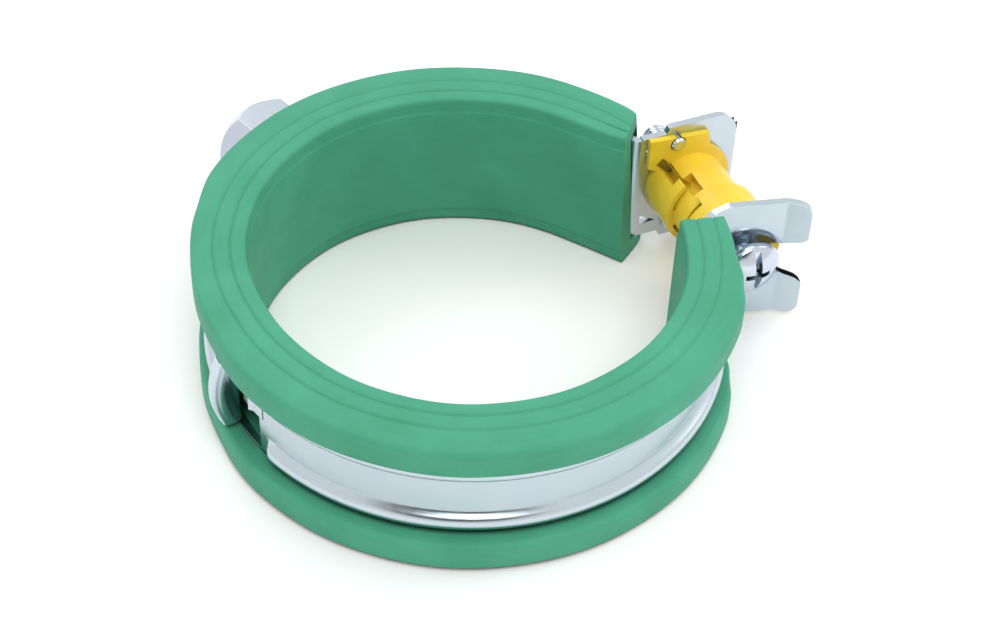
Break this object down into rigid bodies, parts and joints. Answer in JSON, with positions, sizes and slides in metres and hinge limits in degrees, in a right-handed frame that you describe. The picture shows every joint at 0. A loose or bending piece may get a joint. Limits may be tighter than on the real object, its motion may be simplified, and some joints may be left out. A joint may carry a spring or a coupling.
{
  "type": "pipe clamp",
  "caption": "Rubber-lined two-part pipe clamp with a hook hinge, a forked closing ear, a captive screw in a plastic retainer and a welded fixing nut.",
  "frame": {"origin": "centre of the pipe bore, at the middle of its width", "axes": "+Z along the pipe axis, +Y towards the fixing nut, +X towards the closing screw, the hinge on the -X side"},
  "size_m": [0.106, 0.1032, 0.028],
  "materials": {
    "lining": "matte",
    "band": "bright zinc plated",
    "hardware": "bright zinc plated",
    "retainer": "moulded nylon"
  },
  "bodies": {
    "back_half": {"back_band": "band", "back_lining": "lining", "fixing_nut": "hardware", "ear_nut": "hardware", "ear_rivets": "hardware", "retainer_base": "retainer"},
    "collar": {"retainer_collar": "retainer"},
    "screw": {"closing_screw": "hardware"},
    "front_half": {"front_band": "band", "front_lining": "lining"}
  },
  "joints": [
    {"name": "collar_slide", "type": "slide", "parent": "back_half", "child": "collar", "axis": [0.309, 0.9511, 0], "range_m": [0, 0.0049]},
    {"name": "screw_turn", "type": "hinge", "parent": "collar", "child": "screw", "pos_m": [0.05079, -0.00184, 0], "axis": [0.309, 0.9511, 0], "range_deg": [0, 2210]},
    {"name": "band_hinge", "type": "hinge", "parent": "back_half", "child": "front_half", "pos_m": [-0.04208, 0.0081, 0], "axis": [0, 0, 1], "range_deg": [0, 3]}
  ],
  "couplings": [
    {"joint": "collar_slide", "follows": "band_hinge", "m_per_rad": 0.091393},
    {"joint": "screw_turn", "follows": "band_hinge", "ratio": 717.8}
  ]
}
